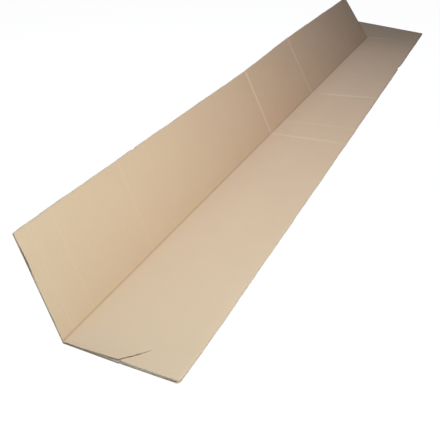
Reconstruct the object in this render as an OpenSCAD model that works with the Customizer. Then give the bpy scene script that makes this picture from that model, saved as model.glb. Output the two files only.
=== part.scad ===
// Pallet edge protector: one sheet of corrugated board with a single lengthwise fold.
// The base leg lies flat. The wall leg stands up from the fold and leans outwards,
// more at the far end than at the near end. Past the folded stretch the wall leg is
// slit from the fold, and the end of the sheet stays flat and is cut off on a skew.
// The fluted paper shows in the free edges, between the two liners.
// Seen in plan, the fold runs along Y, the base leg lies to +X and the wall leg to -X.

/* [Board] */
// Thickness of the single-wall board
board_t = 4; // [3:0.1:7]
// Thickness of each of its two paper liners
liner_t = 0.4; // [0.2:0.05:0.8]
// Depth of the flute that the near cut leaves open between the liners
open_flute_d = 4; // [1:0.5:12]
// Length of one wave of the fluted paper between the liners
flute_pitch = 7.9; // [6:0.1:12]
// Distance from the near end at which the fluted paper first touches the outer liner
flute_start = 3.5; // [0:0.1:6]
// Thickness of the fluted paper
flute_t = 0.4; // [0.2:0.05:0.6]
// Clearance between the fluted paper's tips and the liners
flute_gap = 0.05; // [0.02:0.01:0.1]
// Depth to which the flutes are open behind the free edges
edge_open_d = 8; // [3:0.5:20]

/* [Legs] */
// Width of the base leg, from the fold to its free edge
base_leg = 170; // [140:1:260]
// Width of the wall leg, from the fold to its free edge
wall_leg = 157; // [110:1:240]
// Length of the folded stretch
fold_length = 1770; // [1300:5:2600]
// Length of the flat end beyond the folded stretch, measured at the fold
flat_end = 206; // [120:1:400]
// Skew of the end cut from square, the outer corner of the base leg being the short one
end_skew = 22; // [0:0.5:30]
// Width of the slit that parts the wall leg from the flat end
end_slit = 2; // [0.5:0.5:6]
// Skew of the near cut from square, the outer corner of the base leg being the long one
near_skew = 2; // [0:0.5:8]
// Amount by which the near cut presses the wall leg thinner, from outside
near_pinch = 2; // [0.2:0.1:2.4]
// Distance from the near end over which it is pressed thinner
pinch_reach = 14; // [8:1:40]
// Depth to which the wall leg's free edge dips at the second pressed line
edge_dip = 6; // [0:0.5:15]

/* [Fold] */
// Lean of the wall leg from upright at the near end, in degrees
lean_near = 18.5; // [0:0.5:45]
// Lean of the wall leg from upright at the far end of the fold, in degrees
lean_far = 36; // [0:0.5:50]
// Width of the line creased into the inside of the fold
crease_w = 5; // [2:0.5:12]
// Depth of the creased line
crease_d = 0.6; // [0.2:0.1:2]

/* [Cross scores] */
// Distance of the first pressed line from the near end
score_1 = 237; // [150:1:500]
// Distance of the second pressed line from the near end
score_2 = 777; // [550:1:820]
// Distance of the third pressed line from the near end
score_3 = 865; // [840:1:1000]
// Distance of the fourth pressed line from the near end
score_4 = 1092; // [1020:1:1250]
// Slant of the second pressed line across the base leg, in degrees
slant_2 = 3; // [0:0.5:12]
// Slant of the third pressed line across the base leg, in degrees
slant_3 = 5; // [0:0.5:12]
// Slant of the fourth pressed line across the base leg, in degrees
slant_4 = 10; // [0:0.5:14]
// Width of each pressed line
score_w = 8; // [3:0.5:14]
// Depth of each pressed line
score_d = 0.7; // [0.1:0.1:1.4]

/* [Torn corner] */
// Distance of the tear's mouth from the fold
tear_mouth = 84; // [60:1:105]
// Width of the tear at its mouth
tear_gap = 1.5; // [0.5:0.1:4]
// Distance of the tear's tip from the fold
tear_tip = 113.5; // [108:0.5:130]
// Length of the tear, measured square to the near edge
tear_depth = 34; // [20:1:60]
// Distance from the near end at which the bent corner meets the free edge
corner_bend = 62; // [40:1:120]
// Angle by which the torn corner is bent up, in degrees
corner_lift = 2; // [0.5:0.5:12]
// Distance from the fold at which the liner beside the tear starts to lift
lip_start = 20; // [10:1:50]
// Angle by which that liner has lifted from the board, in degrees
lip_lift = 9; // [2:0.5:20]

/* [Hidden] */
board_colour = [0.80, 0.70, 0.57];
overshoot = 1;
bend_steps = 6;
station_pitch = 60;
hinge_hold = 1;
lip_root = 0.05;
lip_margin = 2;
crease_half = crease_w / 2;
scores = [score_1, score_2, score_3, score_4, fold_length];
slants = [0, slant_2, slant_3, slant_4, 0];
inner_corner = [0, board_t];
flute_h = board_t - 2 * liner_t;
half_flute = flute_pitch / 2;
flute_half_t = flute_t / cos(atan(flute_h / half_flute)) / 2;
low_flute = liner_t + flute_half_t + flute_gap;
high_flute = board_t - low_flute;

// Places of the skew cuts at the far and the near end, at a distance from the fold
function end_y(x) = fold_length + flat_end - x * tan(end_skew);
function near_y(x) = -(x - crease_half) * tan(near_skew);

// Heading of the line from one point to another, and the step of length 1 along it
function heading(from, to) = atan2(to[1] - from[1], to[0] - from[0]);
function toward(from, to) = (to - from) / norm(to - from);

near_corner = [base_leg, near_y(base_leg)];
mouth_point = [tear_mouth, near_y(tear_mouth)];
tip_point = [tear_tip, tear_depth];
bend_point = [base_leg, corner_bend];
lip_point = [lip_start, near_y(lip_start)];
lip_end = tip_point - lip_margin * toward(mouth_point, tip_point);
plan_centre = [(base_leg - wall_leg) / 2, (end_y(-wall_leg) + near_corner[1]) / 2];

// Height of a point of the torn corner above the flat base leg
function corner_rise(p) = cross(p - tip_point, toward(tip_point, bend_point)) * sin(corner_lift);

// Lean of the wall leg at a distance from the near end
function lean_at(y) = lean_near + (lean_far - lean_near) * y / fold_length;

// Width of the wall leg at a distance from the near end
function leg_at(y) =
    wall_leg - edge_dip * max(0, min(y / score_2, (score_4 - y) / (score_4 - score_2)));

// Amount by which the wall leg is pressed thinner at a distance from the near end
function pinch_at(y) = near_pinch * max(0, 1 - y / pinch_reach);

// Depth to which the inside face is pressed in at a distance from the near end
function dip_at(y) = max([0, for (s = scores) score_d * (1 - abs(y - s) / (score_w / 2))]);

// The numbers of a list in rising order, each once
function in_order(list) =
    len(list) < 2 ? list :
    let (middle = list[floor(len(list) / 2)])
    concat(
        in_order([for (value = list) if (value < middle) value]),
        [middle],
        in_order([for (value = list) if (value > middle) value])
    );

// Places along the fold where the wall leg's section is set out
stations = in_order(concat(
    [for (i = [0 : floor(fold_length / station_pitch)]) i * station_pitch],
    [pinch_reach],
    [for (s = scores, side = [-0.5, 0, 0.5]) min(s + side * score_w, fold_length)]
));

// Section of the fold and the wall leg, as [outside, inside] pairs of [x, z] points that run
// from the base leg round the fold to the wall leg's free edge
function wall_section(y) =
    let (
        lean = lean_at(y),
        leg = leg_at(y),
        dip = dip_at(y),
        pinch = pinch_at(y),
        up = [-sin(lean), cos(lean)],
        out = [-cos(lean), -sin(lean)],
        base_side = [crease_half, board_t - dip],
        seam = inner_corner + (crease_d + dip) * [cos(225 + lean / 2), sin(225 + lean / 2)],
        wall_side = inner_corner + crease_half * up + dip * out
    )
    concat(
        [for (k = [0 : bend_steps])
            let (
                a = 270 - (90 - lean) * (k - 1) / (bend_steps - 1),
                across = 2 * k / bend_steps
            )
            [
                k == 0
                    ? [crease_half, 0]
                    : inner_corner + (board_t - pinch * k / bend_steps) * [cos(a), sin(a)],
                across < 1
                    ? base_side + across * (seam - base_side)
                    : seam + (across - 1) * (wall_side - seam)
            ]],
        [[inner_corner + leg * up + (board_t - pinch) * out, inner_corner + leg * up + dip * out]]
    );

// Two triangles that close the panel between points a and b of one section and of the next
function panel(a, b, next) = [[a, a + next, b + next], [a, b + next, b]];
function panel_other_way(a, b, next) = [[a, a + next, b], [b, a + next, b + next]];

// Fold and wall leg, skinned over its sections so that it twists along its length.
// The inside and the outside split their panels along parallel lines, which keeps the board even.
module wall() {
    pairs = len(wall_section(0));
    next = 2 * pairs;
    last = next * (len(stations) - 1);
    free_edge = next - 2;
    steps = [0 : 2 : free_edge - 2];
    lengths = [0 : next : last - next];
    polyhedron(
        points = [for (y = stations, pair = wall_section(y), p = pair) [p[0], y, p[1]]],
        faces = concat(
            [for (k = steps) [k, k + 2, k + 3, k + 1]],
            [for (k = steps) [last + k + 1, last + k + 3, last + k + 2, last + k]],
            [for (i = lengths, k = steps) each panel(i + k, i + k + 2, next)],
            [for (i = lengths, k = steps) each panel_other_way(i + k + 3, i + k + 1, next)],
            [for (i = lengths) each panel(i + free_edge, i + free_edge + 1, next)],
            [for (i = lengths) each panel(i + 1, i, next)]
        )
    );
}

// Loft over sections of four points each, given in rising order along the fold
module loft(rows) {
    last = 4 * (len(rows) - 1);
    polyhedron(
        points = [for (row = rows, p = row) p],
        faces = concat(
            [[0, 1, 2, 3], [last + 3, last + 2, last + 1, last]],
            [for (i = [0 : 4 : last - 4], k = [0 : 3]) each panel(i + k, i + (k + 1) % 4, 4)]
        )
    );
}

// Point of the wall leg at a distance from the near end, a height above the fold
// and a depth behind the inside face
function wall_point(y, height, depth) =
    let (
        lean = lean_at(y),
        p = inner_corner + height * [-sin(lean), cos(lean)] + depth * [-cos(lean), -sin(lean)]
    )
    [p[0], y, p[1]];

// Gap between the liners along the wall leg's free edge, between two distances from the near end
module wall_gap(from, to) {
    loft([for (y = concat([from], [for (s = stations) if (s > from && s < to) s], [to]))
        let (foot = leg_at(y) - edge_open_d, top = leg_at(y) + overshoot)
        [
            wall_point(y, foot, liner_t),
            wall_point(y, foot, board_t - liner_t),
            wall_point(y, top, board_t - liner_t),
            wall_point(y, top, liner_t)
        ]]);
}

// Fluted paper in the wall leg's free edge
module wall_fluting() {
    first = ceil((pinch_reach - flute_start) / half_flute);
    last = floor((fold_length - flute_start) / half_flute);
    loft([for (i = [first : last])
        let (
            y = flute_start + i * half_flute,
            depth = i % 2 == 0 ? high_flute : low_flute + dip_at(y),
            foot = leg_at(y) - edge_open_d - overshoot,
            top = leg_at(y)
        )
        [
            wall_point(y, foot, depth - flute_half_t),
            wall_point(y, foot, depth + flute_half_t),
            wall_point(y, top, depth + flute_half_t),
            wall_point(y, top, depth - flute_half_t)
        ]]);
}

// Wall leg with its open edges
module open_wall() {
    difference() {
        wall();
        wall_flute();
        for (i = [0 : len(scores) - 1])
            wall_gap(
                i == 0 ? pinch_reach : scores[i - 1] + score_w / 2,
                scores[i] - score_w / 2
            );
    }
    wall_fluting();
}

// Flute left open in the near edge of the base leg, between two distances from the fold
module base_flute(from, to) {
    translate([0, 0, liner_t])
        linear_extrude(flute_h)
            polygon([
                [from, near_y(from) - overshoot],
                [to, near_y(to) - overshoot],
                [to, near_y(to) + open_flute_d],
                [from, near_y(from) + open_flute_d]
            ]);
}

// Flute left open in the near edge of the wall leg, narrowing where the edge is pressed thinner
module wall_flute() {
    inner_side = -liner_t;
    outer_side = liner_t - board_t;
    translate([0, 0, board_t])
        rotate([0, -lean_near, 0])
            translate([0, 0, crease_half])
                linear_extrude(wall_leg)
                    polygon([
                        [inner_side, -overshoot],
                        [inner_side, open_flute_d],
                        [outer_side + pinch_at(open_flute_d), open_flute_d],
                        [outer_side + pinch_at(0), 0],
                        [outer_side + pinch_at(0), -overshoot]
                    ]);
}

// Line pressed across the inside of the base leg
module base_score(y, slant) {
    translate([0, y, board_t])
        rotate(slant)
            rotate([90, 0, 90])
                linear_extrude(base_leg / cos(slant) + score_w)
                    polygon([[-score_w, score_d], [0, -score_d], [score_w, score_d]]);
}

// Strip behind the base leg's free edge and the skew end, in plan, from the torn corner on
module edge_strip(margin, foot) {
    inner_right = base_leg - edge_open_d - foot;
    outer_left = -wall_leg - margin;
    step_back = (edge_open_d + foot) / cos(end_skew);
    polygon([
        [inner_right, corner_bend],
        [base_leg + margin, corner_bend],
        [base_leg + margin, end_y(base_leg + margin) + margin],
        [outer_left, end_y(outer_left) + margin],
        [outer_left, end_y(outer_left) - step_back],
        [inner_right, end_y(inner_right) - step_back]
    ]);
}

// The same strip on the torn corner
module corner_strip(margin, foot) {
    translate([base_leg - edge_open_d - foot, flute_pitch])
        square([edge_open_d + foot + margin, corner_bend - edge_open_d - flute_pitch]);
}

// Gap between the liners over a strip of the plan
module edge_gap() {
    translate([0, 0, liner_t])
        linear_extrude(flute_h)
            children();
}

// Fluted paper over a strip of the plan, between two distances from the near end
module edge_fluting(from, to) {
    first = floor((from - flute_start) / half_flute);
    last = ceil((to - flute_start) / half_flute);
    middle = [for (i = [first : last])
        [flute_start + i * half_flute, i % 2 == 0 ? low_flute : high_flute]];
    intersection() {
        translate([-wall_leg, 0, 0])
            rotate([90, 0, 90])
                linear_extrude(wall_leg + base_leg)
                    polygon(concat(
                        [for (p = middle) p + [0, flute_half_t]],
                        [for (i = [len(middle) - 1 : -1 : 0]) middle[i] - [0, flute_half_t]]
                    ));
        linear_extrude(board_t)
            children();
    }
}

// Bends its children up about a line of the sheet, at a height in the board
module bent_up(from, to, height, angle) {
    turn = heading(from, to);
    translate([from[0], from[1], height])
        rotate(turn)
            rotate([-angle, 0, 0])
                rotate(-turn)
                    translate([-from[0], -from[1], -height])
                        children();
}

// Base leg with the flat end, solid, short of the torn corner and bare where the liner has lifted
module base_sheet() {
    difference() {
        linear_extrude(board_t)
            polygon([
                [crease_half, 0],
                mouth_point,
                tip_point,
                bend_point,
                [base_leg, end_y(base_leg)],
                [-wall_leg, end_y(-wall_leg)],
                [-wall_leg, fold_length + end_slit],
                [crease_half, fold_length + end_slit]
            ]);
        base_flute(crease_half, tear_mouth + overshoot);
        translate([0, 0, board_t - liner_t])
            linear_extrude(board_t)
                polygon([
                    lip_point - overshoot * toward(lip_point, lip_end),
                    mouth_point - [0, overshoot],
                    mouth_point + [overshoot, 0],
                    lip_end + overshoot * toward(lip_point, lip_end)
                ]);
    }
}

// Band of the base leg that a pressed line crushes
module crushed_band(y, slant) {
    translate([0, y, 0])
        rotate(slant)
            translate([0, -score_w / 2, 0])
                cube([2 * base_leg, score_w, board_t]);
}

// Base leg with its open edges, closed again where the pressed lines cross them
module base() {
    difference() {
        union() {
            difference() {
                base_sheet();
                difference() {
                    edge_gap()
                        edge_strip(overshoot, 0);
                    for (i = [0 : len(scores) - 1])
                        crushed_band(scores[i], slants[i]);
                }
            }
            edge_fluting(corner_bend, end_y(-wall_leg))
                edge_strip(0, overshoot);
        }
        for (i = [0 : len(scores) - 1])
            base_score(scores[i], slants[i]);
    }
}

// Liner beside the tear, lifted about the line from its start to the tear's tip
module torn_lip() {
    along = toward(lip_point, lip_end);
    hold = hinge_hold * [-along[1], along[0]];
    foot = board_t - liner_t - lip_root;
    last = lip_end - lip_root * 4 * along;
    bent_up(lip_point, lip_end, foot, lip_lift)
        translate([0, 0, foot])
            linear_extrude(liner_t + lip_root)
                polygon([lip_point, mouth_point, last, last + hold, lip_point + hold]);
}

// Board of the near corner beyond the tear, raised about the line from the tear's tip
module corner_sheet() {
    rim = [mouth_point + [tear_gap, 0], near_corner, bend_point, tip_point];
    polyhedron(
        points = [for (height = [0, board_t], p = rim) [p[0], p[1], height + corner_rise(p)]],
        faces = concat(
            [[0, 1, 2, 3], [7, 6, 5, 4]],
            [for (i = [0 : 3]) [i, i + 4, (i + 1) % 4 + 4, (i + 1) % 4]]
        )
    );
}

// Near corner of the base leg, torn along one side, with its open edges
module torn_corner() {
    difference() {
        corner_sheet();
        bent_up(tip_point, bend_point, 0, corner_lift) {
            base_flute(tear_mouth, base_leg + overshoot);
            edge_gap()
                corner_strip(overshoot, 0);
        }
    }
    bent_up(tip_point, bend_point, 0, corner_lift)
        edge_fluting(flute_pitch, corner_bend)
            corner_strip(0, overshoot);
}

module folded_board() {
    color(board_colour)
        translate(-plan_centre) {
            open_wall();
            base();
            torn_lip();
            torn_corner();
        }
}

folded_board();
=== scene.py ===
import math

import bpy
import numpy as np
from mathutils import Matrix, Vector


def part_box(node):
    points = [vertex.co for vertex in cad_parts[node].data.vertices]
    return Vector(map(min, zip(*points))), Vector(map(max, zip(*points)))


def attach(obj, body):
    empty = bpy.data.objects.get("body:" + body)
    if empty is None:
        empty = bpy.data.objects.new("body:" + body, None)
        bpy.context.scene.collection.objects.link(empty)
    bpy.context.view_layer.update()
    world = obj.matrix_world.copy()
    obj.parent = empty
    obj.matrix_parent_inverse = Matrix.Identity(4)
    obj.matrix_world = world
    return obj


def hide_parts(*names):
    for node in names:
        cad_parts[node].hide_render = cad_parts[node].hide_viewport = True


# pallet edge protector: a folded sheet of corrugated board, made as its two liners and its fluted paper
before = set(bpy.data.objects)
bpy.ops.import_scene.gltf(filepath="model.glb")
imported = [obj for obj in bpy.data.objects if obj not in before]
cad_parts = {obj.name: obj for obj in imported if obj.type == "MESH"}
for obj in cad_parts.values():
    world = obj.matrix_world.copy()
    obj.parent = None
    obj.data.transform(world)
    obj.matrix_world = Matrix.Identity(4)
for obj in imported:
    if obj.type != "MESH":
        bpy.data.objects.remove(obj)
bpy.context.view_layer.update()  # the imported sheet, one rigid body
sheetLow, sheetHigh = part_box("folded_board")
mm = 0.001

# the sheet as it was cut and folded, the same sizes as the solid's
sheet = {
    "thickness": 4 * mm,
    "linerThickness": 0.4 * mm,
    "baseLeg": 170 * mm,
    "wallLeg": 157 * mm,
    "foldLength": 1770 * mm,
    "flatEnd": 206 * mm,  # at the fold
    "endSkew": math.radians(22),
    "endSlit": 2 * mm,
    "nearSkew": math.radians(2),
    "nearPinch": 2 * mm,  # the near cut presses the wall leg thinner
    "pinchReach": 14 * mm,
    "edgeDip": 6 * mm,  # of the wall's free edge, deepest at the second score
    "leanNear": math.radians(18.5),
    "leanFar": math.radians(36),
    "foldStrip": 3 * mm,  # board that goes round the fold
    "creaseWidth": 9 * mm,
    "creaseDepth": 0.6 * mm,
    "creaseHalf": 2.5 * mm,  # the near cut runs skew from here on
    "scoreWidth": 8 * mm,
    "flutePitch": 7.9 * mm,
    "fluteStart": -4.4 * mm,  # a flute lies low here
}
foldX = sheetLow.x + sheet["wallLeg"]  # where the fold runs in the frame
farEnd = sheet["foldLength"] + sheet["flatEnd"] + sheet["wallLeg"] * math.tan(sheet["endSkew"])
nearY = sheetHigh.y - farEnd
groundZ = sheetLow.z
wallStart = -sheet["foldStrip"]  # on the flat blank the wall leg starts here
wallEdge = wallStart - sheet["wallLeg"]
nearSlope = -math.tan(sheet["nearSkew"])

# pressed cross lines: how each lies, how pale it is drawn on each leg, and its span of the base leg
scores = [
    {"place": 237 * mm, "slant": 0, "depth": 0.12 * mm,
     "onWall": 0.06, "onBase": 0.0, "span": (0, 170 * mm)},
    {"place": 777 * mm, "slant": math.radians(3), "depth": 0.7 * mm,
     "onWall": 0.6, "onBase": 0.25, "span": (5 * mm, 130 * mm)},
    {"place": 865 * mm, "slant": math.radians(5), "depth": 0.25 * mm,
     "onWall": 0.06, "onBase": 0.15, "span": (40 * mm, 150 * mm)},
    {"place": 1092 * mm, "slant": math.radians(10), "depth": 0.7 * mm,
     "onWall": 0.55, "onBase": 0.52, "span": (60 * mm, 130 * mm)},
    {"place": sheet["foldLength"], "slant": 0, "depth": 0.7 * mm,
     "onWall": 0.0, "onBase": 1.0, "span": (4 * mm, 24 * mm)},
]

# wear of the free edges: they run unevenly, with a dent in each (where, half its length, depth)
wear = {
    "uneven": 1.2 * mm,
    "reach": 12 * mm,
    "base": {"inset": 0.2 * mm, "seed": 0.9, "dent": (1438 * mm, 32 * mm, 2.8 * mm)},
    "wall": {"inset": 0, "seed": 2.3, "dent": (290 * mm, 8 * mm, 1.6 * mm)},
    "waves": [(230 * mm, 0.4), (91 * mm, 0.3), (37 * mm, 0.2), (17.1 * mm, 0.1)],  # length and share
    "edgeCrush": 1.6 * mm,  # the base leg's free edge is pressed down
    "crushReach": 5 * mm,
    "cornerLoss": 3 * mm,  # the near corner is worn off
    "cornerNormal": (1, -1.2),
    "cornerReach": 40 * mm,
}


def nearCut(across):
    return nearSlope * np.clip(across - sheet["creaseHalf"], 0, None)


# the torn near corner, in the plan of the flat blank: (from the fold, from the near end)
tear = {
    "mouth": (84 * mm, float(nearCut(84 * mm))),
    "gap": 1.5 * mm,
    "tip": (113.5 * mm, 34 * mm),
    "clear": 70 * mm,  # the tear lies wholly past this
    "bendEnd": (170 * mm, 62 * mm),  # the torn corner bends up about the line from the tip to here
    "cornerLift": math.radians(2),
    "lipStart": (20 * mm, float(nearCut(20 * mm))),  # and the liner beside it from here to the tip
    "lipLift": math.radians(9),
    "lipGain": 1.1,
    "lipBend": 3 * mm,  # how softly the lip bends up
    "liftReach": 100 * mm,  # nothing is lifted past this
    "openEdge": 1.1 * mm,  # the corner's liner has come off the flutes at its cut edge
    "openMore": 0.9 * mm,  # and more so by the tear
    "openHalf": 26 * mm,
    "openReach": 24 * mm,
    "fray": 0.25 * mm,
    "fraySeed": 1.7,
    "frayRate": 9,  # its ripples are this much finer than the free edges'
    "frayWidth": 0.02 * mm,
    "frayStop": 1 * mm,  # short of the tip
    "baseGrid": range(8, 168, 8),  # in mm from the fold
    "baseGridReach": 70 * mm,
    "wallGrid": range(8, 156, 6),
    "wallGridReach": 24 * mm,
}


def hexColour(code):
    channels = [int(code[i:i + 2], 16) / 255 for i in (1, 3, 5)]
    linear = [c / 12.92 if c <= 0.04045 else ((c + 0.055) / 1.055) ** 2.4 for c in channels]
    return (*linear, 1.0)


def bump(distance, halfWidth):
    near = np.clip(np.abs(distance) / halfWidth, 0, 1)
    return 0.5 + 0.5 * np.cos(np.pi * near)


def ripple(along, seed):
    # an uneven, repeatable run of values between 0 and 1
    swing = 0
    for number, (length, share) in enumerate(wear["waves"], 1):
        swing = swing + share * np.sin(2 * np.pi * along / length + seed * number)
    return 0.5 + 0.5 * swing


def scoreLine(score, across):
    # where a score runs at a distance from the fold
    return score["place"] + np.clip(across, 0, None) * math.tan(score["slant"])


def pressedIn(across, along):
    # how deep the inside is pressed, at the crease, the scores and the base leg's rim
    depth = sheet["creaseDepth"] * bump(across - wallStart / 2, sheet["creaseWidth"] / 2)
    depth = np.where(along > sheet["foldLength"], 0, depth)
    for score in scores:
        groove = score["depth"] * bump(along - scoreLine(score, across), sheet["scoreWidth"] / 2)
        depth = np.maximum(depth, groove)
    toRim = np.clip(1 - (sheet["baseLeg"] - across) / wear["crushReach"], 0, 1)
    return np.maximum(depth, wear["edgeCrush"] * toRim * toRim)


def fromLine(start, end, across, along):
    # distance of points to the near side of a line in the plan
    dx, dy = end[0] - start[0], end[1] - start[1]
    return ((across - start[0]) * dy - (along - start[1]) * dx) / math.hypot(dx, dy)


def beyondTear(across, along):
    # the points on the torn corner's side of the tear
    mouthMiddle = (tear["mouth"][0] + tear["gap"] / 2, tear["mouth"][1])
    return fromLine(mouthMiddle, tear["tip"], across, along) > 0


def lifted(across, along, lip):
    # how far the torn corner, and the liner beside the tear, stand above the flat base leg
    beyond = beyondTear(across, along)
    corner = np.clip(fromLine(tear["tip"], tear["bendEnd"], across, along), 0, None)
    rise = np.where(beyond, corner * math.sin(tear["cornerLift"]), 0)
    if lip:
        reach = np.clip(fromLine(tear["lipStart"], tear["tip"], across, along), 0, None)
        curl = reach * reach / (reach + tear["lipBend"])
        rise = rise + np.where(beyond, 0, curl * math.sin(tear["lipLift"]) * tear["lipGain"])
        opened = tear["openEdge"] + tear["openMore"] * bump(across - tear["mouth"][0], tear["openHalf"])
        edge = bump(along - nearCut(across), tear["openReach"])
        rise = rise + np.where(beyond, opened * edge, 0)
    return np.where((across > 0) & (along < tear["liftReach"]), rise, 0)


def foldSheet(across, along, height):
    # a point of the flat blank, at a height above its outer face, goes to its place in the folded sheet
    share = np.clip(along / sheet["foldLength"], 0, 1)
    lean = sheet["leanNear"] + (sheet["leanFar"] - sheet["leanNear"]) * share
    onWall = np.clip(across / wallStart, 0, 1)
    pinch = sheet["nearPinch"] * np.clip(1 - along / sheet["pinchReach"], 0, 1) * onWall
    height = height + pinch * (1 - height / sheet["thickness"])
    inwards = sheet["thickness"] - height
    angle = 1.5 * np.pi - onWall * (np.pi / 2 - lean)  # round the fold
    second, fourth = scores[1]["place"], scores[3]["place"]
    toDip = np.minimum(along / second, (fourth - along) / (fourth - second))
    dip = sheet["edgeDip"] * np.clip(toDip, 0, 1)
    up = np.clip(wallStart - across, 0, None) * (1 - dip / sheet["wallLeg"])  # on up the wall leg
    x = np.clip(across, 0, None) + inwards * np.cos(angle) - up * np.sin(lean)
    z = sheet["thickness"] + inwards * np.sin(angle) + up * np.cos(lean)
    flat = along > sheet["foldLength"] + sheet["endSlit"] / 2
    squeeze = sheet["wallLeg"] / -wallEdge
    x = np.where(flat, np.where(across < 0, across * squeeze, across), x)
    z = np.where(flat, height, z)
    return np.stack([foldX + x, nearY + along, groundZ + z], axis=1)


def selectOnly(piece):
    bpy.ops.object.select_all(action="DESELECT")
    piece.select_set(True)
    bpy.context.view_layer.objects.active = piece


def readPoints(piece):
    points = np.empty(len(piece.data.vertices) * 3)
    piece.data.vertices.foreach_get("co", points)
    return points.reshape(-1, 3)


def writePoints(piece, points):
    piece.data.vertices.foreach_set("co", points.astype(np.float32).ravel())
    piece.data.update()


def selectFaces(piece, test):
    # selects the faces whose middle passes the test, and goes to edit mode
    mesh = piece.data
    middles = np.empty(len(mesh.polygons) * 3)
    mesh.polygons.foreach_get("center", middles)
    chosen = test(*middles.reshape(-1, 3).T)
    selectOnly(piece)
    bpy.ops.object.mode_set(mode="EDIT")
    bpy.ops.mesh.select_mode(type="FACE")
    bpy.ops.mesh.select_all(action="DESELECT")
    bpy.ops.object.mode_set(mode="OBJECT")
    mesh.polygons.foreach_set("select", chosen)
    bpy.ops.object.mode_set(mode="EDIT")


cutTolerance = 0.001 * mm
weldDistance = 0.01 * mm


def cutShown(lines, **clear):
    # cuts all that shows in edit mode along lines of the plan, each a point and a normal
    for place, normal in lines:
        bpy.ops.mesh.select_all(action="SELECT")
        bpy.ops.mesh.bisect(plane_co=(*place, 0), plane_no=(*normal, 0), threshold=cutTolerance, **clear)


def cutFaces(piece, test, lines, **clear):
    # cuts only the chosen faces, with the rest hidden
    selectFaces(piece, test)
    bpy.ops.mesh.hide(unselected=True)
    cutShown(lines, **clear)
    bpy.ops.mesh.reveal(select=False)
    bpy.ops.object.mode_set(mode="OBJECT")


def dropFaces(piece, test):
    selectFaces(piece, test)
    bpy.ops.mesh.delete(type="FACE")
    bpy.ops.object.mode_set(mode="OBJECT")


def applyModifier(piece, kind, **settings):
    selectOnly(piece)
    modifier = piece.modifiers.new(kind.lower(), kind)
    for name, value in settings.items():
        setattr(modifier, name, value)
    bpy.ops.object.modifier_apply(modifier=modifier.name)


def layBlank(name, columns, rowsPerFlute):
    # one flute's strip of paper, cut into columns and rows, then repeated along the sheet
    pitch = sheet["flutePitch"]
    width = sheet["baseLeg"] - wallEdge
    bpy.ops.object.select_all(action="DESELECT")
    bpy.ops.mesh.primitive_plane_add(size=1, location=(0, 0, 0))
    blank = bpy.context.object
    blank.name = name
    blank.data.name = name
    bpy.ops.object.mode_set(mode="EDIT")
    bpy.ops.transform.resize(value=(width, pitch, 1), center_override=(0, 0, 0))
    bpy.ops.transform.translate(value=(wallEdge + width / 2, -pitch / 2, 0))
    cutShown([((column * mm, 0), (1, 0)) for column in columns])
    cutShown([((0, -pitch * row / rowsPerFlute), (0, 1)) for row in range(1, rowsPerFlute)])
    bpy.ops.object.mode_set(mode="OBJECT")
    applyModifier(
        blank, "ARRAY", count=math.ceil(farEnd / pitch) + 1, use_relative_offset=False,
        use_constant_offset=True, constant_offset_displace=(0, pitch, 0),
        use_merge_vertices=True, merge_threshold=weldDistance,
    )
    return blank


def cutNearEnd(blank):
    # the near cut is square across the wall leg and a little skew across the base leg
    reach = 2 * sheet["flutePitch"]
    half = sheet["creaseHalf"]
    square, skewed = ((0, 0), (0, 1)), ((half, 0), (-nearSlope, 1))
    cutFaces(blank, lambda x, y, z: (x < half) & (y < reach), [square], clear_inner=True)
    cutFaces(blank, lambda x, y, z: (x > half) & (y < reach), [skewed], clear_inner=True)
    cornerStart = sheet["baseLeg"] - wear["cornerReach"]
    corner = (sheet["baseLeg"] - wear["cornerLoss"], float(nearCut(sheet["baseLeg"])))
    blunt = (corner, wear["cornerNormal"])
    cutFaces(blank, lambda x, y, z: (x > cornerStart) & (y < reach), [blunt], clear_outer=True)


def slitWall(blank):
    # parts the wall leg from the flat end
    start, stop = sheet["foldLength"], sheet["foldLength"] + sheet["endSlit"]
    reach = 2 * sheet["flutePitch"]
    sides = [((0, start), (0, 1)), ((0, stop), (0, 1))]
    cutFaces(blank, lambda x, y, z: (x < 0) & (np.abs(y - start) < reach), sides)
    dropFaces(blank, lambda x, y, z: (x < 0) & (y > start) & (y < stop))


def tearCorner(blank):
    # a fine grid by the near end, creases where the corner bends, and the open wedge of the tear
    near, tip = tear["baseGridReach"], tear["tip"]
    baseGrid = [((column * mm, 0), (1, 0)) for column in tear["baseGrid"]]
    cutFaces(blank, lambda x, y, z: (x > sheet["creaseHalf"]) & (y < near), baseGrid)
    wallGrid = [((wallStart - column * mm, 0), (1, 0)) for column in tear["wallGrid"]]
    cutFaces(blank, lambda x, y, z: (x < wallStart) & (y < tear["wallGridReach"]), wallGrid)
    for start, end in ((tear["lipStart"], tip), (tip, tear["bendEnd"])):
        normal = (end[1] - start[1], start[0] - end[0])
        cutFaces(blank, lambda x, y, z: (x > start[0]) & (x < end[0]) & (y < near), [(start, normal)])
    leftSide, rightSide = tear["mouth"], (tear["mouth"][0] + tear["gap"], tear["mouth"][1])
    sides = [(side, (tip[1] - side[1], side[0] - tip[0])) for side in (leftSide, rightSide)]
    cutFaces(blank, lambda x, y, z: (x > tear["clear"]) & (x < tip[0]) & (y < tip[1]), sides)
    dropFaces(blank, lambda x, y, z: (
        (fromLine(leftSide, tip, x, y) > 0) & (fromLine(rightSide, tip, x, y) < 0) & (y < tip[1])))


def cutBlank(name, settings):
    # a paper's flat blank, with the near cut, the slit and the tear in it
    blank = layBlank(name, settings["columns"], settings["rowsPerFlute"])
    cutNearEnd(blank)
    slitWall(blank)
    tearCorner(blank)
    return blank


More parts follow.
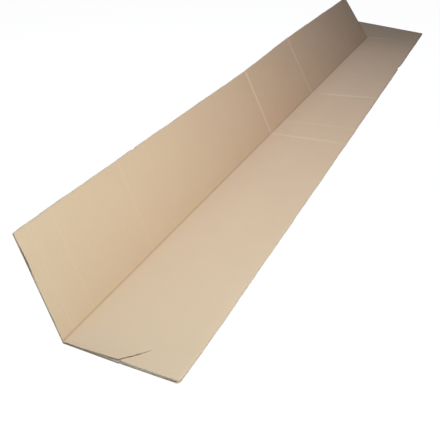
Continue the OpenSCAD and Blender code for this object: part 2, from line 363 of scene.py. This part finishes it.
def frayTear(across, along):
    # the torn edges of the paper run unevenly
    frayed = across
    for gap, way in ((0, -1), (tear["gap"], 1)):
        start = (tear["mouth"][0] + gap, tear["mouth"][1])
        off = np.abs(fromLine(start, tear["tip"], across, along))
        onEdge = (off < tear["frayWidth"]) & (along < tear["tip"][1] - tear["frayStop"])
        uneven = tear["fray"] * ripple(along * tear["frayRate"], tear["fraySeed"] + way)
        frayed = frayed + np.where(onEdge, way * uneven, 0)
    return frayed


def edgeLoss(along, edge):
    # how far a free edge has worn back
    place, halfLength, depth = edge["dent"]
    uneven = wear["uneven"] * ripple(along, edge["seed"])
    return edge["inset"] + uneven + depth * bump(along - place, halfLength)


def wearEdges(across, along):
    # both free edges move inwards
    nearBase = np.clip(1 - (sheet["baseLeg"] - across) / wear["reach"], 0, 1)
    across = across - edgeLoss(along, wear["base"]) * nearBase
    nearWall = np.clip(1 - (across - wallEdge) / wear["reach"], 0, 1)
    return across + edgeLoss(along, wear["wall"]) * nearWall


def fluteSwing(along):
    # 1 where the fluted paper lies low, on the outer liner, and -1 where it lies high
    return np.cos(2 * np.pi * (along - sheet["fluteStart"]) / sheet["flutePitch"])


def trimEnd(piece):
    # cuts the flat end off on its skew, after folding
    skew = sheet["endSkew"]
    atFold = nearY + sheet["foldLength"] + sheet["flatEnd"]
    skewed = ((foldX, atFold), (math.sin(skew), math.cos(skew)))
    cutFaces(piece, lambda x, y, z: y > nearY + sheet["foldLength"], [skewed], clear_outer=True)


def foldPaper(blank, points, settings):
    # puts a blank in its folded place, trims its far end and gives the paper its thickness
    writePoints(blank, points)
    trimEnd(blank)
    applyModifier(blank, "SOLIDIFY", thickness=settings["paper"], offset=0)
    bpy.ops.object.shade_smooth_by_angle(angle=settings["smoothAngle"])


# marks that the liners' colour follows, painted shade among them: their sizes and strengths
marking = {
    "scoreHalf": 6.8 * mm,
    "scoreFade": 60 * mm,  # past the span that shows it
    "scoreFoot": 0.65,  # a score's share of its strength at the wall leg's foot
    "streaks": [(25 * mm, 0.05), (34 * mm, 0.04), (71 * mm, 0.06), (311 * mm, 0.04)],
    "streakHalf": 4 * mm,  # they are paler lines up the wall leg
    "rim": 2.5 * mm,
    "farEdgeShade": 14 * mm,  # painted shade along the far edges
    "flatEndShade": 0.36,  # painted shade over the flat end, growing towards the far end
    "flatEndShadeStart": 1580 * mm,
    "flatEndShadeReach": 200 * mm,
}


def markScores(across, along, onWall):
    # how far the paper is drawn paler at the scores and the streaks
    scored = np.zeros(len(along))
    foot = marking["scoreFoot"]
    for score in scores:
        start, stop = score["span"]
        past = np.clip(start - across, 0, None) + np.clip(across - stop, 0, None)
        wall = score["onWall"] * (foot - (1 - foot) * across / sheet["wallLeg"])
        strength = np.where(onWall, wall, score["onBase"] * bump(past, marking["scoreFade"]))
        line = bump(along - scoreLine(score, across), marking["scoreHalf"])
        scored = np.maximum(scored, strength * line)
    for place, strength in marking["streaks"]:
        line = bump(along - place, marking["streakHalf"])
        scored = np.maximum(scored, np.where(onWall, strength, 0) * line)
    return scored


def markFarShade(across, along, onWall):
    # how much painted shade darkens the paper by the far edges and over the flat end, where the light
    # falls off
    foldEnd = sheet["foldLength"]
    toSkew = foldEnd + sheet["flatEnd"] - across * math.tan(sheet["endSkew"]) - along
    wallStops = onWall & (along < foldEnd + sheet["endSlit"] / 2)
    toFar = np.where(wallStops, foldEnd - along, toSkew)
    flatEndShade = marking["flatEndShade"] * np.clip((along - marking["flatEndShadeStart"]) / marking["flatEndShadeReach"], 0, 1)
    flatEndShaded = np.where(onWall & (along < foldEnd), 0, flatEndShade)
    return np.maximum(bump(toFar, marking["farEdgeShade"]), flatEndShaded)


def addPaperMarks(piece, across, along):
    # writes, for the paper's colour, how far each point is scored, how much painted shade it takes at
    # the fold, how pale and grey it is at a rim, and how much painted shade it takes by the far end
    onWall = across < wallStart / 2
    # painted shade along the inside of the fold
    creased = bump(across - wallStart / 2, sheet["creaseWidth"] / 2)
    toEdge = np.minimum(sheet["baseLeg"] - across, across - wallEdge)
    toEdge = np.minimum(toEdge, along - nearCut(across))
    marks = {
        "scored": markScores(across, along, onWall),
        "creased": np.where(along > sheet["foldLength"], 0, creased),
        "rim": bump(toEdge, marking["rim"]),
        "farShadeMask": markFarShade(across, along, onWall),
    }
    for name, values in marks.items():
        layer = piece.data.attributes.new(name, "FLOAT", "POINT")
        layer.data.foreach_set("value", values.astype(np.float32))


# both liners: columns of the blank in mm, rows to a flute, and how the fluting shows through
liner = {
    "columns": [-157, -150, -135, -110, -85, -60, -35, -15, -8, -6, -4.5, -3, -2.25, -1.5, -0.75, 0,
                1.25, 2.5, 5, 12, 30, 50, 75, 100, 120, 140, 155, 165, 167, 168.7],
    "rowsPerFlute": 4,
    "paper": 0.36 * mm,
    "smoothAngle": math.radians(40),
    "washboard": 0.08 * mm,  # sag of the paper between two flute tips
    "gapes": [(120 * mm, 34 * mm, 3.6 * mm), (34 * mm, 18 * mm, 1.0 * mm)],  # up the near wall edge
    "gapeReach": 18 * mm,
    "gapeCurl": 1.5,
}


def makeLiner(name, inside):
    blank = cutBlank(name, liner)
    flat = readPoints(blank)
    along = flat[:, 1]
    across = wearEdges(frayTear(flat[:, 0], along), along)
    half = sheet["linerThickness"] / 2
    low = 0.5 + 0.5 * fluteSwing(along)
    if inside:
        height = sheet["thickness"] - half - liner["washboard"] * low - pressedIn(across, along)
        reach = np.clip(1 - along / liner["gapeReach"], 0, 1) ** liner["gapeCurl"]
        for middle, halfLength, width in liner["gapes"]:
            height = height + width * reach * bump(wallStart - across - middle, halfLength)
    else:
        height = half + liner["washboard"] * (1 - low)
    height = height + lifted(across, along, inside)
    addPaperMarks(blank, across, along)
    foldPaper(blank, foldSheet(across, along, height), liner)
    print(name, "done:", len(blank.data.polygons), "faces")
    return blank


# the fluted paper between the liners
fluting = {
    "columns": [-150, -80, -12, -6, -3, -1.5, 0, 2.5, 9, 85, 165, 167.5],
    "rowsPerFlute": 12,
    "paper": 0.25 * mm,
    "smoothAngle": math.radians(60),
    "crushedBack": 0.9 * mm,  # at the torn corner's near cut
    "crushedPitch": 0.2,  # what is left of the first flute's pitch there
    "crushedReach": 10 * mm,
}


def crushNearEdge(across, along):
    # beyond the tear the near cut has pressed the first flute together
    inside = along - nearCut(across)
    back, reach = fluting["crushedBack"], fluting["crushedReach"]
    pitchLeft = fluting["crushedPitch"]
    growth = 1 - pitchLeft - back / reach  # so that it meets the rest at the reach
    pressed = back + inside * (pitchLeft + growth * inside / reach)
    mouthMiddle = tear["mouth"][0] + tear["gap"] / 2
    crushed = beyondTear(across, along) & (across > mouthMiddle) & (inside < reach)
    return np.where(crushed, along - inside + pressed, along)


def makeFluting(name):
    blank = cutBlank(name, fluting)
    flat = readPoints(blank)
    along = flat[:, 1]
    across = wearEdges(flat[:, 0], along)
    bottom = sheet["linerThickness"] + fluting["paper"] / 2
    top = sheet["thickness"] - bottom - pressedIn(across, along)
    high = 0.5 - 0.5 * fluteSwing(along)
    height = bottom + (top - bottom) * high + lifted(across, along, False)
    foldPaper(blank, foldSheet(across, crushNearEdge(across, along), height), fluting)
    print(name, "done:", len(blank.data.polygons), "faces")
    return blank


innerLiner = makeLiner("inner_liner", True)
outerLiner = makeLiner("outer_liner", False)
flutedPaper = makeFluting("fluted_paper")


def addNode(tree, kind, settings=None, inputs=None):
    # a node with its settings; an input is a value or another node's output
    node = tree.nodes.new(kind)
    for name, value in (settings or {}).items():
        setattr(node, name, value)
    for name, value in (inputs or {}).items():
        if isinstance(value, bpy.types.NodeSocket):
            tree.links.new(value, node.inputs[name])
        else:
            node.inputs[name].default_value = value
    return node


def newMaterial(name):
    material = bpy.data.materials.new(name)
    material.use_nodes = True
    material.node_tree.nodes.clear()
    return material, material.node_tree


mixShare, mixUnder, mixOver, mixResult = 0, 6, 7, 2  # a Mix node's sockets for colours

# kraft liner: brown fibrous paper, matt, with soft cloudy tone, and painted light and shade: a cool tint
# at the near end, shade on the flute ribs, along the fold and by the far end
kraft = {
    "base": "#E4C4A2",
    "cloud": "#DCBF97",
    "fibre": "#CEAC83",
    "nearLightTint": "#D8C4A6",  # painted light: a cooler, less red tint at the near end, for the cooler light falling there
    "ribShade": "#DAB990",  # painted shade where the liner sags between flute tips, where a flute lies low
    "score": "#F9E3BF",
    # painted shade along the fold
    "crease": "#D2B490",
    # paler, greyer patches along the cut edges
    "rimGrey": "#D2C1A7",
    # painted shade for the far edges and the flat end
    "farShade": "#938370",
    "cloudSize": 60 * mm,
    "cloudDetail": 4,
    "fibreLength": 5 * mm,  # real fibres are finer, and are drawn this coarse to show
    "fibreWidth": 0.5 * mm,
    "fibreDetail": 3,
    "fibreRange": (0.52, 0.75),
    "fibreStrength": 0.5,
    "nearTintStrength": 0.55,
    "nearTintReach": 900 * mm,  # from the near end
    "ribShadeStrength": 0.12,
    "scuffSize": 14 * mm,
    "scuffDetail": 3,
    "farShadeStrength": 0.6,
    "grainStrength": 0.25,
    "grainDepth": 0.05 * mm,
    "roughness": 0.85,
    "ior": 1.47,
    "gloss": 0.06,
}


def kraftPaper():
    material, tree = newMaterial("kraft liner paper")
    place = addNode(tree, "ShaderNodeTexCoord").outputs["Object"]
    clouds = addNode(tree, "ShaderNodeTexNoise", {}, {
        "Vector": place, "Scale": 1 / kraft["cloudSize"], "Detail": kraft["cloudDetail"]})
    acrossScale, alongScale = 1 / kraft["fibreWidth"], 1 / kraft["fibreLength"]
    stretch = addNode(tree, "ShaderNodeMapping", {}, {
        "Vector": place, "Scale": (acrossScale, alongScale, acrossScale)})
    fibres = addNode(tree, "ShaderNodeTexNoise", {}, {
        "Vector": stretch.outputs["Vector"], "Scale": 1, "Detail": kraft["fibreDetail"]})
    fibreStart, fibreFull = kraft["fibreRange"]
    fibreShare = addNode(tree, "ShaderNodeMapRange", {}, {
        "Value": fibres.outputs["Fac"], "From Min": fibreStart, "From Max": fibreFull,
        "To Max": kraft["fibreStrength"]})
    along = addNode(tree, "ShaderNodeSeparateXYZ", {}, {"Vector": place}).outputs["Y"]
    # painted light tint, strongest at the near end and gone by the reach
    nearTintShare = addNode(tree, "ShaderNodeMapRange", {}, {
        "Value": along, "From Min": nearY, "From Max": nearY + kraft["nearTintReach"],
        "To Min": kraft["nearTintStrength"], "To Max": 0})
    turn = 2 * math.pi / sheet["flutePitch"]
    phase = addNode(tree, "ShaderNodeMath", {"operation": "MULTIPLY_ADD"}, {
        0: along, 1: turn, 2: -turn * (nearY + sheet["fluteStart"])})
    ribs = addNode(tree, "ShaderNodeMath", {"operation": "COSINE"}, {0: phase.outputs[0]})
    # painted shade along the flute ribs
    ribShadeShare = addNode(tree, "ShaderNodeMapRange", {}, {
        "Value": ribs.outputs[0], "From Min": -1, "To Max": kraft["ribShadeStrength"]})
    marks = {}
    for name in ("scored", "creased", "rim", "farShadeMask"):
        marks[name] = addNode(tree, "ShaderNodeAttribute", {"attribute_name": name}).outputs["Fac"]
    scuffs = addNode(tree, "ShaderNodeTexNoise", {}, {
        "Vector": place, "Scale": 1 / kraft["scuffSize"], "Detail": kraft["scuffDetail"]})
    # patchy paler grey along the cut edges
    rimGreyShare = addNode(tree, "ShaderNodeMath", {"operation": "MULTIPLY"}, {
        0: marks["rim"], 1: scuffs.outputs["Fac"]})
    # painted shade by the far end
    farShadeShare = addNode(tree, "ShaderNodeMath", {"operation": "MULTIPLY"}, {
        0: marks["farShadeMask"], 1: kraft["farShadeStrength"]})
    tones = {
        "cloud": clouds.outputs["Fac"],
        "fibre": fibreShare.outputs["Result"],
        "nearLightTint": nearTintShare.outputs["Result"],
        "ribShade": ribShadeShare.outputs["Result"],
        "score": marks["scored"],
        "crease": marks["creased"],
        "rimGrey": rimGreyShare.outputs[0],
        "farShade": farShadeShare.outputs[0],
    }
    colour = hexColour(kraft["base"])
    for name, share in tones.items():  # each tone lies over those before it
        layer = addNode(tree, "ShaderNodeMix", {"data_type": "RGBA"}, {
            mixShare: share, mixUnder: colour, mixOver: hexColour(kraft[name])})
        colour = layer.outputs[mixResult]
    grain = addNode(tree, "ShaderNodeBump", {}, {
        "Height": fibres.outputs["Fac"], "Strength": kraft["grainStrength"],
        "Distance": kraft["grainDepth"]})
    shader = addNode(tree, "ShaderNodeBsdfPrincipled", {}, {
        "Base Color": colour, "Roughness": kraft["roughness"], "IOR": kraft["ior"],
        "Specular IOR Level": kraft["gloss"], "Normal": grain.outputs["Normal"]})
    addNode(tree, "ShaderNodeOutputMaterial", {}, {"Surface": shader.outputs["BSDF"]})
    return material


# fluting paper: thinner, paler and rougher than the liners, its pale colour partly painted light on the
# open cut edges, with soft flecks
flutingPaper = {
    "base": "#EEDFC6",
    "fleck": "#D8C8AE",
    "fleckSize": 6 * mm,
    "fleckDetail": 5,
    "roughness": 0.9,
    "ior": 1.47,
    "gloss": 0.2,
}


def flutePaper():
    material, tree = newMaterial("fluting paper")
    place = addNode(tree, "ShaderNodeTexCoord").outputs["Object"]
    flecks = addNode(tree, "ShaderNodeTexNoise", {}, {
        "Vector": place, "Scale": 1 / flutingPaper["fleckSize"], "Detail": flutingPaper["fleckDetail"]})
    flecked = addNode(tree, "ShaderNodeMix", {"data_type": "RGBA"}, {
        mixShare: flecks.outputs["Fac"], mixUnder: hexColour(flutingPaper["base"]),
        mixOver: hexColour(flutingPaper["fleck"])})
    shader = addNode(tree, "ShaderNodeBsdfPrincipled", {}, {
        "Base Color": flecked.outputs[mixResult], "Roughness": flutingPaper["roughness"],
        "IOR": flutingPaper["ior"], "Specular IOR Level": flutingPaper["gloss"]})
    addNode(tree, "ShaderNodeOutputMaterial", {}, {"Surface": shader.outputs["BSDF"]})
    return material


linerPaper = kraftPaper()
for piece, paper in ((innerLiner, linerPaper), (outerLiner, linerPaper), (flutedPaper, flutePaper())):
    piece.data.materials.append(paper)
    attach(piece, "root")
    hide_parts("folded_board")
print("papers done")

# floor: white to the camera, pale to the light, and it keeps the sheet's shadow
floorLook = {"size": 14, "gap": 0.2 * mm, "paint": "#F2F2F0", "glow": 0.92, "glowLevel": 1.055}


def seenPlainly(tree):
    # 1 for what the camera sees, also in a gloss or through glass, and 0 for light on its way
    path = addNode(tree, "ShaderNodeLightPath")
    seen = path.outputs["Is Camera Ray"]
    for ray in ("Is Glossy Ray", "Is Transmission Ray"):
        either = addNode(tree, "ShaderNodeMath", {"operation": "MAXIMUM"}, {
            0: seen, 1: path.outputs[ray]})
        seen = either.outputs[0]
    return seen


def makeFloor():
    bpy.ops.object.select_all(action="DESELECT")
    bpy.ops.mesh.primitive_plane_add(size=floorLook["size"], location=(0, 0, groundZ - floorLook["gap"]))
    floor = bpy.context.object
    floor.name = "studio_floor"
    material, tree = newMaterial("studio floor")
    share = addNode(tree, "ShaderNodeMath", {"operation": "MULTIPLY"}, {
        0: seenPlainly(tree), 1: floorLook["glow"]})
    paint = addNode(tree, "ShaderNodeBsdfDiffuse", {}, {"Color": hexColour(floorLook["paint"])})
    glow = addNode(tree, "ShaderNodeEmission", {}, {"Strength": floorLook["glowLevel"]})
    both = addNode(tree, "ShaderNodeMixShader", {}, {
        0: share.outputs[0], 1: paint.outputs["BSDF"], 2: glow.outputs["Emission"]})
    addNode(tree, "ShaderNodeOutputMaterial", {}, {"Surface": both.outputs["Shader"]})
    floor.data.materials.append(material)


makeFloor()
print("floor done")

# soft lamps: places and sizes in metres, in the sheet's frame
lamps = {
    "key": {"place": (0.65, -1.0, 0.85), "aim": (0.05, -0.9, 0.0),  # the near end
            "size": (0.7, 0.7), "watts": 8.35, "colour": (0.93, 1.0, 0.965)},
    "top": {"place": (0.0, -0.35, 1.6), "aim": (0.0, -0.35, 0.0),  # cool, from overhead
            "size": (0.8, 1.6), "watts": 7.8, "colour": (0.36, 0.53, 1.0)},
    "window": {"place": (-0.5, -0.05, 1.2), "aim": (0.05, -0.05, 0.0),  # the base leg's middle
               "size": (0.6, 1.0), "watts": 7.5, "colour": (0.825, 0.87, 1.0)},
    "front": {"place": (0.2, -1.9, 0.36), "aim": (0.05, -1.0, 0.0),  # the near cut edge
              "size": (0.8, 0.3), "watts": 2.6, "colour": (0.69, 0.81, 1.0)},
    "side": {"place": (1.0, -0.4, 0.45), "aim": (-0.05, -0.4, 0.06),  # a warm bounce on the wall leg
             "size": (0.4, 0.9), "watts": 1.3, "colour": (1.0, 0.61, 0.74)},
    "back": {"place": (-1.2, -0.5, 0.3), "aim": (-0.08, -0.5, 0.06),  # the wall leg's outer side
             "size": (0.4, 1.2), "watts": 5.0, "colour": (0.85, 0.92, 1.0)},
}


def makeLamp(name, settings):
    bpy.ops.object.light_add(type="AREA", location=settings["place"])
    lamp = bpy.context.object
    lamp.name = name
    lamp.data.energy = settings["watts"]
    lamp.data.color = settings["colour"]
    lamp.data.shape = "RECTANGLE"
    lamp.data.size, lamp.data.size_y = settings["size"]
    heading = Vector(settings["aim"]) - Vector(settings["place"])
    lamp.rotation_euler = heading.to_track_quat("-Z", "Y").to_euler()


for lampName, lampSettings in lamps.items():
    makeLamp(lampName, lampSettings)

# backdrop: white to the camera, and hardly any light
backdrop = {"colour": "#FFFFFF", "seenLevel": 1.0, "lightLevel": 0.008}


def makeBackdrop():
    world = bpy.data.worlds.new("studio")
    bpy.context.scene.world = world
    world.use_nodes = True
    tree = world.node_tree
    tree.nodes.clear()
    level = addNode(tree, "ShaderNodeMapRange", {}, {
        "Value": seenPlainly(tree), "To Min": backdrop["lightLevel"], "To Max": backdrop["seenLevel"]})
    light = addNode(tree, "ShaderNodeBackground", {}, {
        "Color": hexColour(backdrop["colour"]), "Strength": level.outputs["Result"]})
    addNode(tree, "ShaderNodeOutputWorld", {}, {"Surface": light.outputs["Background"]})


makeBackdrop()
print("lamps and backdrop done")

# camera: worked out from the photograph's corners, fold and cross lines
view = {
    "target": (55.25 * mm, 367.7 * mm, 4 * mm),  # from the fold's near end
    "azimuth": math.radians(23.97),
    "elevation": math.radians(29.61),
    "distance": 1070.5 * mm,
    "lens": 51.19,  # in millimetres, as Blender takes it
}


def makeCamera():
    target = Vector((foldX, nearY, groundZ)) + Vector(view["target"])
    level, rise = math.cos(view["elevation"]), math.sin(view["elevation"])
    back = Vector((math.sin(view["azimuth"]) * level, -math.cos(view["azimuth"]) * level, rise))
    bpy.ops.object.camera_add(location=target + back * view["distance"])
    camera = bpy.context.object
    camera.rotation_euler = (-back).to_track_quat("-Z", "Y").to_euler()
    camera.data.lens = view["lens"]
    bpy.context.scene.camera = camera


makeCamera()
bpy.context.scene.view_settings.view_transform = "Standard"
print("camera done")
